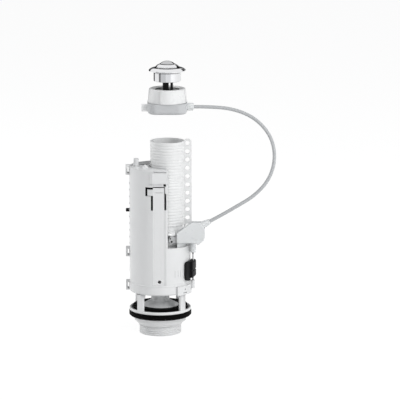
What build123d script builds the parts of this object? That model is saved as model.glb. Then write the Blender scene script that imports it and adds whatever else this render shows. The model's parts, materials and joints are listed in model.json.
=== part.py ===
from build123d import *
import os
from math import acos, cos, degrees, pi, radians, sin, tan

os.makedirs("parts", exist_ok=True)

# Driving dimensions, in millimetres and degrees
# Z is up from the lower end of the tail, X is to the right of the front view, the front faces -Y
wall = 2.0
running_gap = 0.4
seat_gap = 0.1
cover = 0.25

# Main radii about the tail axis
tower_radius = 43.4
ring_radius = tower_radius + 0.7
flange_radius = ring_radius - 0.3

# Outlet, flange and legs
tail_radius = 29.8
tail_length = 13.4
tail_chamfer = 0.8
bore_radius = tail_radius - 4.8
bore_length = 28.0
collar_radius = tail_radius + 1.6
collar_top = tail_length + 0.8
spigot_radius = flange_radius - 7.0
shoulder_top = 19.2
moat_bottom = 23.5
flange_bottom = 33.6
rim_top = 37.6
rim_width = 3.0
seat_z = 36.2
seat_radius = flange_radius - 14.6
seat_width = 2.4
leg_count = 4
leg_angle = 49.0
leg_width = 10.4
leg_depth = 3.6
leg_step_z = 56.0
leg_shoulder_z = 60.4
leg_top = 69.9
hook_length = 4.8
hook_height = 3.6
hook_depth = 2.2

# Washer, seal and valve plate
washer_bottom = 25.5
washer_radius = flange_radius + 0.5
seal_radius = flange_radius - 5.0
seal_thickness = 3.8
seal_lip = 0.9
plate_radius = seal_radius - 12.8
plate_rim = 0.6
plate_rise = 6.7
neck_radius = 13.0
neck_bottom = 31.4
retainer_radius = 20.5

# Lift tube and overflow tube, on an axis to the right of the tail axis
tube_x = 10.6
neck_top = 92.0
socket_length = 6.0
socket_wall = 1.6
lift_radius = 22.0
lift_start = 114.0
lift_top = 250.0
lift_collar_radius = lift_radius + 2.4
lift_collar_bottom = 131.0
lift_travel = 12.0
overflow_drop = 6.0
overflow_radius = lift_radius + 2.3
overflow_bottom = 157.4
overflow_top = 277.2
rib_pitch = 4.13
rib_depth = 0.55
strip_reach = 9.9
strip_right = tube_x + overflow_radius + strip_reach
strip_thickness = 2.2
strip_bottom = 148.0
strip_top = overflow_top + 2.4
strip_corner = 5.2
strip_hole_reach = 4.1
strip_hole_x = tube_x + overflow_radius + strip_hole_reach
strip_hole_radius = 3.1
strip_hole_pitch = 11.88
strip_hole_count = 11

# Tower housing
ring_wall = 2.1
ring_bottom = 61.8
ring_top = 75.0
ledge_radius = ring_radius - 7.1
ledge_height = 3.4
bayonet_turn = 15.0
roof_radius = ring_radius - 7.6
deck_top = 128.6
deck_rim = 129.2
tower_top = 241.0
chamber_end = 11.2
cradle_radius = overflow_radius + 2.1
channel_left = -8.8
channel_right = 5.9
channel_bevel = 3.6
channel_floor = tower_radius - 1.8
channel_back = tower_radius - 4.0
channel_bottom = 76.6
panel_bottom = 222.6
panel_top = 238.3
panel_left = -14.2
panel_face = tower_radius + 1.4
latch_left = -9.4
latch_right = 6.6
latch_bottom = 184.2
latch_top = 216.6
latch_gap = 2.8
latch_slit = 0.6
slot_depth = channel_back - 3.6
pocket_wall = 2.4
lug_reach = tower_radius + 5.2
lug_width = 10.0
lug_height = 13.2
lug_bottoms = (62.6, 111.1, 229.0)
scale_count = 10
scale_bottom = 130.2
scale_pitch = 9.65
scale_start = 183.6
scale_end = 191.0
band_start = -126.0
mark_angles = (-61.0, -54.0, -48.0)
mark_bottom = 86.9
mark_height = 9.6
lock_start = -57.0
lock_end = -15.0
lock_radius = ring_radius + 2.2

# Float chamber
cap_thickness = 2.2
cap_drop = 0.6
cap_back = 8.0
ledge_step = 1.3
float_inset = 4.0
float_front = channel_back - 1.0
float_bottom = 150.0
float_top = 222.0
float_wall = 1.6
float_travel = 12.0
stem_x = -(tower_radius - 9.6)
stem_radius = 3.7
stem_top = 251.6
bump_x = -20.6
bump_y = -14.0
bump_radius = 4.8
bump_height = 4.2
pointer_z = 177.5
pointer_height = 4.4
pointer_width = 4.2
pointer_tip = tower_radius + 5.1
full_float_radius = roof_radius - 3.5
full_float_bottom = 64.0
full_float_top = neck_top - socket_length - 1.0

# Lever box, lever and volume slider
lever_back = lift_collar_radius + 2.6
lever_front = lever_back + 6.0
box_front = lever_front + 4.0
box_back = box_front - 12.5
box_wall = 1.8
box_left = tube_x + 13.0
box_floor = 136.4
box_shoulder = 150.7
box_top = 165.8
box_right = tower_radius + 20.3
box_edge = 2.5
foot_width = 4.0
ferrule_angle = 28.0
ferrule_face = 9.6
ferrule_length = 11.4
ferrule_base_radius = 5.4
ferrule_tip_radius = 3.6
lever_z = 143.4
lever_pivot_x = box_right - 13.7
lever_nose_x = tube_x + 6.4
lever_nose_radius = 3.0
lever_hub_radius = 4.2
lever_cable_arm = 13.0
axle_radius = 2.0
axle_gap = 0.1
nipple_radius = 1.9
lug_thickness = 3.4
rail_stand = 5.35
rail_angle = -16.69
rail_radius = 1.25
rail_socket = 5.0
rail_boss_radius = 4.4
rail_foot_radius = 2.7
rail_foot_bottom = 67.0
rail_foot_top = 78.6
slider_bottom = 80.0
slider_height = 27.4
slider_travel = 10.0
slider_corner = 5.0
slider_step = 3.0
slider_edge = 2.8
slider_leaf = -38.5
slider_block = -26.0
slider_end = -6.0

# Cable head
head_x = 10.6
head_width = 56.0
head_depth = 50.0
head_corner = 14.0
head_wall = 2.2
head_bottom = 316.8
head_top = head_bottom + 15.2
head_edge = 5.0
cable_z = head_bottom + 8.6
cable_radius = 2.5
cable_insert = 3.0
stub_radius = 5.2
stub_length = 8.3
head_ferrule_length = 9.4
head_ferrule_radius = 5.4
thread_radius = 23.0
thread_wall = 2.2
thread_top = head_top + 14.0
guide_thickness = 2.0
guide_boss_radius = thread_radius - 7.8
guide_boss_height = 1.6
gasket_width = 2.0
nut_bottom_radius = thread_radius + 4.7
nut_top_radius = thread_radius + 2.8
nut_top = thread_top + 6.0
nut_hole_radius = thread_radius - 5.4
nut_rib_angle = -109.0
rocker_x = -14.0
rocker_drop = 8.0
rocker_hub_radius = 3.2
rocker_nose_radius = 2.0
rocker_inner = 0.6
rocker_outer = 5.2
full_nose_x = -3.2
half_nose_x = 6.2
half_press = 5.0
spring_radius = 2.3
spring_wire = 0.35
spring_turns = 5

# Push rods, bezel and buttons
rod_radius = 7.3
rod_shift = 0.8
rod_slot_left = 2.0
rod_slot_right = 4.5
rod_notch_top = thread_top - 2.0
bezel_collar_radius = 19.1
bezel_collar_bottom = 362.2
bezel_wall = 1.2
bezel_lip_radius = bezel_collar_radius - 5.6
bezel_radius = bezel_collar_radius + 6.9
bezel_underside = bezel_collar_bottom + 14.2
bezel_edge = 1.6
bezel_crown = bezel_underside + 4.8
button_skirt_bottom = bezel_collar_bottom + 7.8
button_rim = bezel_crown + 0.4
button_wall = 1.5
button_gap = 0.7
bezel_bulge = 0.7
button_bulge = 0.9
cap_radius = 10.2
cap_base = button_rim + 5.8
ring_step = 1.2
cap_apex = cap_base + 3.3
cap_skirt = cap_base - 9.4
cap_drop_edge = cap_apex - cap_base + 0.4

# Sizes that follow from the ones above
seal_bottom = seat_z + seat_gap
seal_top = seal_bottom + seal_thickness
rim_inner = flange_radius - rim_width
leg_radius = flange_radius - 0.6 - leg_depth / 2
leg_upper_radius = ring_radius - ring_wall - 0.8 - leg_depth / 2
leg_half_angle = degrees(leg_width / 2 / (leg_upper_radius - leg_depth / 2))
hook_radius = leg_upper_radius - leg_depth / 2 + hook_depth / 2
rail_x = (tower_radius + rail_stand) * cos(radians(rail_angle))
rail_y = (tower_radius + rail_stand) * sin(radians(rail_angle))
slider_top = slider_bottom + slider_height
rail_boss_bottom = slider_top + slider_travel + 1.8
lug_bottom = lever_z + lever_nose_radius + seat_gap
socket_radius = neck_radius + seat_gap + socket_wall
head_floor = head_bottom + head_wall
rocker_z = cable_z + rocker_drop
rod_bottom = rocker_z + rocker_nose_radius + seat_gap
guide_top = thread_top + guide_thickness
nut_bottom = head_top + seat_gap
bezel_bore = bezel_collar_radius - bezel_wall
button_radius = bezel_bore - button_gap
cap_sphere = (cap_radius ** 2 + cap_drop_edge ** 2) / (2 * cap_drop_edge)
cap_bulge = cap_sphere - (cap_sphere ** 2 - (cap_radius ** 2 + cap_drop_edge ** 2) / 4) ** 0.5
lever_angle = lift_travel / (lever_pivot_x - lever_nose_x)
cable_pull = lever_angle * lever_cable_arm
rocker_angle = cable_pull / rocker_drop
full_press = (full_nose_x - rocker_x) * sin(rocker_angle)
half_angle = half_press / (half_nose_x - rocker_x)


def polar(radius, angle):
    """Point at a radius and an angle in degrees from +X."""
    return (radius * cos(radians(angle)), radius * sin(radians(angle)))


def turned(points, axis_x=0.0, mode=Mode.ADD, bulge=0.0):
    """Turn a closed outline of (radius, height) points about a vertical axis; its last side may bulge."""
    plane = Plane(origin=(axis_x, 0, 0), x_dir=(1, 0, 0), z_dir=(0, -1, 0))
    with BuildSketch(plane) as outline:
        with BuildLine():
            Polyline(*points, close=bulge == 0)
            if bulge > 0:
                SagittaArc(points[-1], points[0], -bulge)
        make_face()
    revolve(outline.sketch, axis=Axis((axis_x, 0, 0), (0, 0, 1)), mode=mode)


def block(x0, x1, y0, y1, z0, z1, mode=Mode.ADD):
    """Box between two corners in the open part."""
    with Locations(((x0 + x1) / 2, (y0 + y1) / 2, (z0 + z1) / 2)):
        Box(abs(x1 - x0), abs(y1 - y0), abs(z1 - z0), mode=mode)


def rod(x, y, z0, z1, radius, mode=Mode.ADD):
    """Upright round bar in the open part."""
    with Locations((x, y, z0)):
        Cylinder(radius, z1 - z0, align=(Align.CENTER, Align.CENTER, Align.MIN), mode=mode)


def cross_rod(x, z, y0, y1, radius, mode=Mode.ADD):
    """Round bar along Y in the open part."""
    with Locations(Location((x, (y0 + y1) / 2, z), (90, 0, 0))):
        Cylinder(radius, abs(y1 - y0), mode=mode)


def sector(inner, outer, start, end, z0, z1, mode=Mode.ADD):
    """Upright piece of a ring about the tail axis, between two angles in degrees."""
    with BuildSketch(Plane.XY.offset(z0)) as outline:
        with BuildLine():
            CenterArc((0, 0), outer, start, end - start)
            CenterArc((0, 0), inner, start, end - start)
            Line(polar(inner, start), polar(outer, start))
            Line(polar(inner, end), polar(outer, end))
        make_face()
    extrude(outline.sketch, amount=z1 - z0, mode=mode)


def crescent(inset, z0, z1, front=None, back=None, mode=Mode.ADD):
    """Plan of the float chamber moved in from its outer faces, as an upright block."""
    with BuildSketch(Plane.XY.offset(z0)) as outline:
        Circle(tower_radius - inset)
        with Locations((tube_x, 0)):
            Circle(cradle_radius + inset, mode=Mode.SUBTRACT)
        with Locations((chamber_end - inset + tower_radius, 0)):
            Rectangle(2 * tower_radius, 4 * tower_radius, mode=Mode.SUBTRACT)
        if front is not None:
            with Locations((0, -front - tower_radius)):
                Rectangle(4 * tower_radius, 2 * tower_radius, mode=Mode.SUBTRACT)
        if back is not None:
            with Locations((0, back + tower_radius)):
                Rectangle(4 * tower_radius, 2 * tower_radius, mode=Mode.SUBTRACT)
    extrude(outline.sketch, amount=z1 - z0, mode=mode)


def arm(circles, y0, y1, mode=Mode.ADD):
    """Flat arm whose outline wraps a list of (x, z, radius) circles, between two depths."""
    with BuildSketch(Plane.XZ.offset(-y0)) as outline:
        for x, z, radius in circles:
            with Locations((x, z)):
                Circle(radius)
        make_hull()
    extrude(outline.sketch, amount=-(y1 - y0), mode=mode)


# Outlet moulding: threaded tail, flange, valve seat and four bayonet legs
with BuildPart() as valve_base:
    turned([
        (bore_radius, 0),
        (tail_radius - tail_chamfer, 0),
        (tail_radius, tail_chamfer),
        (tail_radius, tail_length),
        (collar_radius, tail_length),
        (collar_radius, collar_top),
        (spigot_radius, shoulder_top),
        (spigot_radius, flange_bottom),
        (flange_radius - 0.5, flange_bottom),
        (flange_radius, flange_bottom + 0.5),
        (flange_radius, rim_top - 0.6),
        (flange_radius - 0.6, rim_top),
        (rim_inner, rim_top),
        (rim_inner, seat_z - 1.2),
        (spigot_radius - wall, seat_z - 1.2),
        (spigot_radius - wall, moat_bottom),
        (seat_radius + seat_width, moat_bottom),
        (seat_radius + seat_width / 2, seat_z),
        (seat_radius - seat_width / 2, seat_z),
        (bore_radius, bore_length),
    ])
    with BuildSketch(Plane.XY.offset(rim_top - 1)):
        with PolarLocations(leg_radius, leg_count, start_angle=leg_angle):
            Rectangle(leg_depth, leg_width)
    extrude(amount=leg_shoulder_z - rim_top + 1)
    with BuildSketch(Plane.XY.offset(leg_step_z)):
        with PolarLocations(leg_upper_radius, leg_count, start_angle=leg_angle):
            Rectangle(leg_depth, leg_width)
    extrude(amount=leg_top - leg_step_z)
    with BuildSketch(Plane.XY.offset(leg_top - hook_height)):
        with PolarLocations(hook_radius, leg_count, start_angle=leg_angle):
            with Locations((0, leg_width / 2 + hook_length / 2 - 0.5)):
                Rectangle(hook_depth, hook_length + 1)
    extrude(amount=hook_height)
valve_base.part.label = "valve_base"
export_step(valve_base.part, "parts/valve_base.step")

# Rubber washer under the flange
with BuildPart() as flange_washer:
    turned([
        (spigot_radius + cover, washer_bottom),
        (washer_radius - 1.8, washer_bottom),
        (washer_radius, washer_bottom + 1.8),
        (washer_radius, flange_bottom - 1.2),
        (washer_radius - 0.6, flange_bottom),
        (spigot_radius + cover, flange_bottom),
    ])
flange_washer.part.label = "flange_washer"
export_step(flange_washer.part, "parts/flange_washer.step")

# Flush seal that lies on the seat
with BuildPart() as flush_seal:
    turned([
        (neck_radius + cover, seal_bottom),
        (seal_radius - 0.6, seal_bottom),
        (seal_radius, seal_bottom + 0.6),
        (seal_radius, seal_top + seal_lip - 0.4),
        (seal_radius - 0.4, seal_top + seal_lip),
        (seal_radius - 1.8, seal_top + seal_lip),
        (seal_radius - 3.0, seal_top),
        (neck_radius + cover, seal_top),
    ])
flush_seal.part.label = "flush_seal"
export_step(flush_seal.part, "parts/flush_seal.step")

# Ring that holds the seal against the valve plate from below
with BuildPart() as seal_retainer:
    turned([
        (neck_radius + cover / 2, neck_bottom),
        (retainer_radius - 2, neck_bottom),
        (retainer_radius, neck_bottom + 2),
        (retainer_radius, seal_bottom),
        (neck_radius + cover / 2, seal_bottom),
    ])
seal_retainer.part.label = "seal_retainer"
export_step(seal_retainer.part, "parts/seal_retainer.step")

# Valve plate with its hollow neck
with BuildPart() as valve_plate:
    turned([
        (neck_radius - wall, neck_bottom),
        (neck_radius, neck_bottom),
        (neck_radius, seal_top),
        (plate_radius, seal_top),
        (plate_radius, seal_top + plate_rim),
        (neck_radius + 1.5, seal_top + plate_rise),
        (neck_radius, seal_top + plate_rise + 1.5),
        (neck_radius, neck_top),
        (neck_radius - wall, neck_top),
    ])
valve_plate.part.label = "valve_plate"
export_step(valve_plate.part, "parts/valve_plate.step")

# Lift tube, pushed on the neck, which carries the overflow tube
with BuildPart() as lift_tube:
    rod(0, 0, neck_top - socket_length, neck_top, socket_radius)
    with BuildSketch(Plane.XY.offset(neck_top)):
        Circle(socket_radius)
    with BuildSketch(Plane.XY.offset(lift_start)):
        with Locations((tube_x, 0)):
            Circle(lift_radius)
    loft()
    rod(tube_x, 0, lift_start, lift_top, lift_radius)
    rod(tube_x, 0, lift_collar_bottom, lug_bottom, lift_collar_radius)
    block(tube_x + 1.2, lever_nose_x + lever_nose_radius + 1.5, -lever_front, -lift_radius + 4,
          lug_bottom, lug_bottom + lug_thickness)
    rod(0, 0, neck_top - socket_length, neck_top + seat_gap, neck_radius + seat_gap, mode=Mode.SUBTRACT)
    with BuildSketch(Plane.XY.offset(neck_top)):
        Circle(neck_radius - wall)
    with BuildSketch(Plane.XY.offset(lift_start)):
        with Locations((tube_x, 0)):
            Circle(lift_radius - wall)
    loft(mode=Mode.SUBTRACT)
    rod(tube_x, 0, lift_start, lift_top, lift_radius - wall, mode=Mode.SUBTRACT)
lift_tube.part.label = "lift_tube"
export_step(lift_tube.part, "parts/lift_tube.step")

# Float of the full flush, an inverted cup round the neck
with BuildPart() as full_flush_float:
    turned([
        (neck_radius + cover / 2, full_float_top),
        (full_float_radius - 2, full_float_top),
        (full_float_radius, full_float_top - 2),
        (full_float_radius, full_float_bottom),
        (full_float_radius - float_wall, full_float_bottom),
        (full_float_radius - float_wall, full_float_top - float_wall - 1),
        (neck_radius + cover / 2 + float_wall, full_float_top - float_wall - 1),
        (neck_radius + cover / 2 + float_wall, full_float_bottom + 10),
        (neck_radius + cover / 2, full_float_bottom + 10),
    ])
full_flush_float.part.label = "full_flush_float"
export_step(full_flush_float.part, "parts/full_flush_float.step")

# Ribbed overflow tube with the perforated strip down its right side
with BuildPart() as overflow_tube:
    rib_count = int((overflow_top - 4 - overflow_bottom) / rib_pitch)
    bore = lift_radius + running_gap
    outline = [(bore, overflow_bottom), (overflow_radius, overflow_bottom)]
    for rib in range(rib_count):
        groove = overflow_bottom + (rib + 0.75) * rib_pitch
        outline.append((overflow_radius, groove - 0.3 * rib_pitch))
        outline.append((overflow_radius - rib_depth, groove))
        outline.append((overflow_radius, groove + 0.3 * rib_pitch))
    outline.append((overflow_radius, overflow_top - 0.5))
    outline.append((overflow_radius - 0.5, overflow_top))
    outline.append((bore, overflow_top))
    turned(outline, tube_x)
    with BuildSketch(Plane.XZ.offset(strip_thickness / 2)):
        with Locations(((tube_x + bore + 0.6 + strip_right) / 2, (strip_bottom + strip_top) / 2)):
            Rectangle(strip_right - tube_x - bore - 0.6, strip_top - strip_bottom)
        top_corners = [v for v in vertices() if v.Y > strip_top - 1]
        fillet(top_corners, strip_corner)
        for hole in range(strip_hole_count):
            with Locations((strip_hole_x, strip_top - 6.2 - hole * strip_hole_pitch)):
                Circle(strip_hole_radius, mode=Mode.SUBTRACT)
    extrude(amount=-strip_thickness)
    rod(tube_x, 0, strip_bottom - 1, lug_bottom + overflow_drop + running_gap,
        lift_collar_radius + running_gap, mode=Mode.SUBTRACT)
overflow_tube.part.label = "overflow_tube"
export_step(overflow_tube.part, "parts/overflow_tube.step")

# Tower housing: bayonet ring, lower body, float chamber, front channel and snap tongue
with BuildPart() as tower_housing:
    turned([
        (ring_radius - ring_wall, ring_bottom),
        (ring_radius - 1.4, ring_bottom),
        (ring_radius, ring_bottom + 1.6),
        (ring_radius, ring_top),
        (tower_radius, ring_top + 0.7),
        (tower_radius, deck_rim),
        (tower_radius - wall, deck_rim),
        (tower_radius - wall, deck_top),
        (0, deck_top),
        (0, deck_top - wall),
        (tower_radius - wall, deck_top - wall),
        (tower_radius - wall, leg_top + seat_gap + wall),
        (roof_radius, leg_top + seat_gap + wall),
        (roof_radius, leg_top + seat_gap),
        (ring_radius - ring_wall, leg_top + seat_gap),
    ])
    for leg in range(leg_count):
        side = leg_angle + leg * 360 / leg_count + leg_half_angle
        sector(ledge_radius, ring_radius - ring_wall / 2, side + 0.8,
               side + 360 / leg_count - 2 * leg_half_angle - bayonet_turn - 1.2,
               ring_bottom, ring_bottom + ledge_height)
    crescent(0, deck_top, tower_top)
    crescent(wall, deck_top, tower_top, mode=Mode.SUBTRACT)
    rod(tube_x, 0, deck_top - wall, deck_top, lift_radius + running_gap, mode=Mode.SUBTRACT)
    cap_seat = tower_top - cap_drop - cap_thickness - seat_gap
    crescent(wall / 2, cap_seat - wall, cap_seat)
    crescent(wall + ledge_step, cap_seat - wall, cap_seat, mode=Mode.SUBTRACT)
    block(channel_left - wall, chamber_end, -channel_floor + 0.6, -channel_back,
          channel_bottom - wall, panel_top)
    with BuildSketch(Plane.XY.offset(panel_bottom)):
        with BuildLine():
            Polyline(
                (panel_left, -channel_back - 1),
                (panel_left, -tower_radius + 2),
                (panel_left + 3.6, -panel_face),
                (chamber_end, -panel_face),
                (chamber_end, -channel_back - 1),
                close=True,
            )
        make_face()
    extrude(amount=panel_top - panel_bottom)
    with BuildSketch(Plane.XY.offset(channel_bottom)):
        with BuildLine():
            Polyline(
                (channel_left - 0.7, -tower_radius - 1),
                (channel_left, -channel_floor),
                (channel_right, -channel_floor),
                (channel_right + channel_bevel, -tower_radius + 0.9),
                (channel_right + channel_bevel, -tower_radius - 1),
                close=True,
            )
        make_face()
    extrude(amount=panel_bottom - channel_bottom, mode=Mode.SUBTRACT)
    tab_left = latch_left - 7.8
    tab_bottom = latch_top - 11.2
    cuts = (
        (latch_left - latch_gap, latch_left, latch_bottom, tab_bottom),
        (tab_left - latch_gap, tab_left, tab_bottom - 1, latch_top + 0.6),
        (tab_left - latch_gap, latch_left, latch_top - 2.4, latch_top + 0.6),
        (tab_left - 0.1, latch_left, tab_bottom - latch_slit, tab_bottom),
        (latch_left - 0.2, latch_right + 0.8, latch_top, latch_top + 1.4),
        (latch_right, latch_right + latch_gap, latch_bottom + 0.8, latch_top - 8.2),
        (latch_right, latch_right + 0.8, latch_bottom + 0.8, latch_top + 1.4),
        (latch_right - 1, latch_right + latch_gap - 0.4, panel_bottom - 4, panel_bottom),
        (channel_left + 1, chamber_end - wall, panel_top, panel_top + 1.3),
    )
    for x0, x1, z0, z1 in cuts:
        block(x0, x1, -panel_face - 1, -slot_depth, z0, z1, mode=Mode.SUBTRACT)
    block(latch_left + 3.6, latch_right - 2.4, -panel_face, -channel_floor + 0.7,
          latch_top - 7.4, latch_top - 6.4, mode=Mode.SUBTRACT)
    cross_rod((channel_left + channel_right) / 2 + 1, channel_bottom + 4.9, -tower_radius - 1,
              -channel_back + 1, 2.4, mode=Mode.SUBTRACT)
    pointer_reach = float_travel + pointer_height / 2 + running_gap
    block(-tower_radius - 2, -tower_radius + wall + 2, -pointer_width / 2 - running_gap,
          pointer_width / 2 + running_gap, pointer_z - pointer_reach, pointer_z + pointer_reach,
          mode=Mode.SUBTRACT)
    for bottom in lug_bottoms:
        block(-lug_reach, -tower_radius + 1, -lug_width / 2, lug_width / 2, bottom, bottom + lug_height)
        block(-lug_reach + pocket_wall, -tower_radius - 0.7, -lug_width / 2 - 1, lug_width / 2 + 1,
              bottom + pocket_wall, bottom + lug_height - pocket_wall, mode=Mode.SUBTRACT)
    for tick in range(scale_count):
        tick_z = scale_bottom + tick * scale_pitch
        sector(tower_radius - 0.5, tower_radius + 0.7, scale_start, scale_end, tick_z - 0.6, tick_z + 0.6)
    sector(ring_radius - 0.6, ring_radius + 0.6, band_start, lock_start - 0.6, ring_bottom + 1.6,
           ring_top - 0.8)
    sector(ring_radius - 0.6, lock_radius, lock_start, lock_end, ring_bottom - 1.2, ring_top - 1.6)
    sector(ring_radius - 0.5, lock_radius, lock_start - 2.6, lock_start, ring_bottom - 2, ring_top - 1.6,
           mode=Mode.SUBTRACT)
    for mark in mark_angles:
        sector(tower_radius - 0.4, tower_radius + 1, mark - 0.6, mark + 0.6, mark_bottom,
               mark_bottom + mark_height, mode=Mode.SUBTRACT)
    rod(rail_x, rail_y, rail_foot_bottom, rail_foot_top, rail_foot_radius)
    block(tower_radius - 4, rail_x, rail_y - 1.5, rail_y + 1.5, rail_foot_bottom + 1, rail_foot_top - 1)
    rod(rail_x, rail_y, rail_foot_top - rail_socket, rail_foot_top, rail_radius + 0.05, mode=Mode.SUBTRACT)
tower_housing.part.label = "tower_housing"
export_step(tower_housing.part, "parts/tower_housing.step")

# Cap that lies in the top of the float chamber
with BuildPart() as chamber_cap:
    cap_z = tower_top - cap_drop
    crescent(wall + cover, cap_z - cap_thickness, cap_z, front=channel_back - cover, back=cap_back)
    with Locations((bump_x, bump_y, cap_z)):
        Cone(bump_radius, bump_radius / 3, bump_height, align=(Align.CENTER, Align.CENTER, Align.MIN))
    rod(stem_x, 0, cap_z - cap_thickness, cap_z, stem_radius + running_gap, mode=Mode.SUBTRACT)
chamber_cap.part.label = "chamber_cap"
export_step(chamber_cap.part, "parts/chamber_cap.step")

# Float of the half flush, open below
with BuildPart() as half_flush_float:
    crescent(float_inset, float_bottom, float_top, front=float_front)
    crescent(float_inset + float_wall, float_bottom, float_top - float_wall, front=float_front - float_wall,
             mode=Mode.SUBTRACT)
half_flush_float.part.label = "half_flush_float"
export_step(half_flush_float.part, "parts/half_flush_float.step")

# Stem of the half flush float
with BuildPart() as float_stem:
    rod(stem_x, 0, float_top, stem_top, stem_radius)
    chamfer(float_stem.faces().sort_by(Axis.Z)[-1].edges(), 0.6)
float_stem.part.label = "float_stem"
export_step(float_stem.part, "parts/float_stem.step")

# Pointer of the half flush float
with BuildPart() as level_pointer:
    block(-pointer_tip, -(tower_radius - float_inset) - 0.05, -pointer_width / 2, pointer_width / 2,
          pointer_z - pointer_height / 2, pointer_z + pointer_height / 2)
    chamfer(level_pointer.faces().sort_by(Axis.X)[0].edges(), 0.6)
level_pointer.part.label = "level_pointer"
export_step(level_pointer.part, "parts/level_pointer.step")

# Outline of the lever box, with a face square to the cable at its upper right
face_x = box_right - 1 - ferrule_face * sin(radians(ferrule_angle))
face_end_z = box_top - ferrule_face * cos(radians(ferrule_angle))
box_outline = [
    (box_left, box_floor),
    (box_left, box_shoulder),
    (box_left + 21.4, box_top),
    (face_x, box_top),
    (box_right - 1, face_end_z),
    (box_right, face_end_z - 2),
    (box_right, box_floor + 9),
    (box_right - 1.9, box_floor + 3.6),
    (box_right - 9.9, box_floor - 3.2),
    (box_right - 12.7, box_floor),
]
ferrule_x = face_x + ferrule_face / 2 * sin(radians(ferrule_angle))
ferrule_z = box_top - ferrule_face / 2 * cos(radians(ferrule_angle))
ferrule_y = -(lever_front + lever_back) / 2
ferrule_plane = Plane(
    origin=(ferrule_x, ferrule_y, ferrule_z),
    x_dir=(0, 1, 0),
    z_dir=(cos(radians(ferrule_angle)), 0, sin(radians(ferrule_angle))),
)


def box_block(inset, y0, y1, mode=Mode.ADD):
    """Lever box outline moved in from its faces, between two depths."""
    with BuildSketch(Plane.XZ.offset(-y0)) as outline:
        with BuildLine():
            Polyline(*box_outline, close=True)
        make_face()
        if inset > 0:
            offset(amount=-inset, kind=Kind.INTERSECTION, mode=Mode.REPLACE)
    extrude(outline.sketch, amount=-(y1 - y0), mode=mode)


# Lever box, open at the back and hollowed out round the overflow tube
with BuildPart() as lever_box:
    box_block(0, -box_front, -box_back)
    fillet(lever_box.faces().sort_by(Axis.Y)[0].edges(), box_edge / 2)
    block(box_left + 10, rail_x + rail_boss_radius, -box_back - 1, rail_y + rail_boss_radius, box_floor,
          box_floor + box_wall)
    with BuildSketch(Plane.XY.offset(deck_top + seat_gap)):
        Circle(tower_radius - wall - running_gap)
        Circle(tower_radius - wall - running_gap - foot_width, mode=Mode.SUBTRACT)
        with Locations(((box_left + 1 + rail_x) / 2 - 4, rail_y + 2)):
            Rectangle(rail_x - box_left - 9, 2 * box_front, align=(Align.CENTER, Align.MAX),
                      mode=Mode.INTERSECT)
    extrude(amount=box_floor - deck_top)
    rod(tube_x, 0, deck_top, box_top + 5, overflow_radius + running_gap + 0.6, mode=Mode.SUBTRACT)
    with BuildSketch(Plane.XZ.offset(box_front - box_wall)) as cavity:
        with BuildLine():
            Polyline(*box_outline, close=True)
        make_face()
        offset(amount=-box_wall, kind=Kind.INTERSECTION, mode=Mode.REPLACE)
    cavity_block = extrude(cavity.sketch, amount=-(box_front - box_wall - box_back), mode=Mode.PRIVATE)
    keep_out = Pos(tube_x, 0, box_floor) * Cylinder(
        overflow_radius + running_gap + 0.6 + box_wall, 4 * box_top, mode=Mode.PRIVATE)
    add(cavity_block - keep_out, mode=Mode.SUBTRACT)
    block(box_left - 1, box_left + 10, -lever_front - 0.8, -lever_back + 0.8, box_floor + box_wall, box_top,
          mode=Mode.SUBTRACT)
    rod(rail_x, rail_y, rail_boss_bottom, box_floor + 1, rail_boss_radius)
    cross_rod(lever_pivot_x, lever_z, -box_front + 0.6, -lever_front - 0.4, lever_hub_radius)
    cross_rod(lever_pivot_x, lever_z, -box_front + 0.6, -box_back, axle_radius + 0.05, mode=Mode.SUBTRACT)
    rod(rail_x, rail_y, rail_boss_bottom, rail_boss_bottom + rail_socket, rail_radius + 0.05,
        mode=Mode.SUBTRACT)
    with Locations(ferrule_plane):
        Cylinder(1.0, 3 * box_wall, mode=Mode.SUBTRACT)
lever_box.part.label = "lever_box"
export_step(lever_box.part, "parts/lever_box.step")

# Back cover of the lever box, with the bearing for the axle
with BuildPart() as lever_box_cover:
    box_block(box_wall + cover, -box_back - wall, -box_back)
    rod(tube_x, 0, box_floor - 10, box_top + 5, overflow_radius + running_gap + 0.6 + box_wall + cover,
        mode=Mode.SUBTRACT)
    cross_rod(lever_pivot_x, lever_z, -lever_back + 0.4, -box_back, lever_hub_radius)
    cross_rod(lever_pivot_x, lever_z, -lever_back + 0.4, -box_back - 0.6, axle_radius + 0.05,
              mode=Mode.SUBTRACT)
lever_box_cover.part.label = "lever_box_cover"
export_step(lever_box_cover.part, "parts/lever_box_cover.step")

# Axle of the lift lever
with BuildPart() as lever_axle:
    cross_rod(lever_pivot_x, lever_z, -box_front + 0.7, -box_back - 0.7, axle_radius)
lever_axle.part.label = "lever_axle"
export_step(lever_axle.part, "parts/lever_axle.step")

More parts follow.
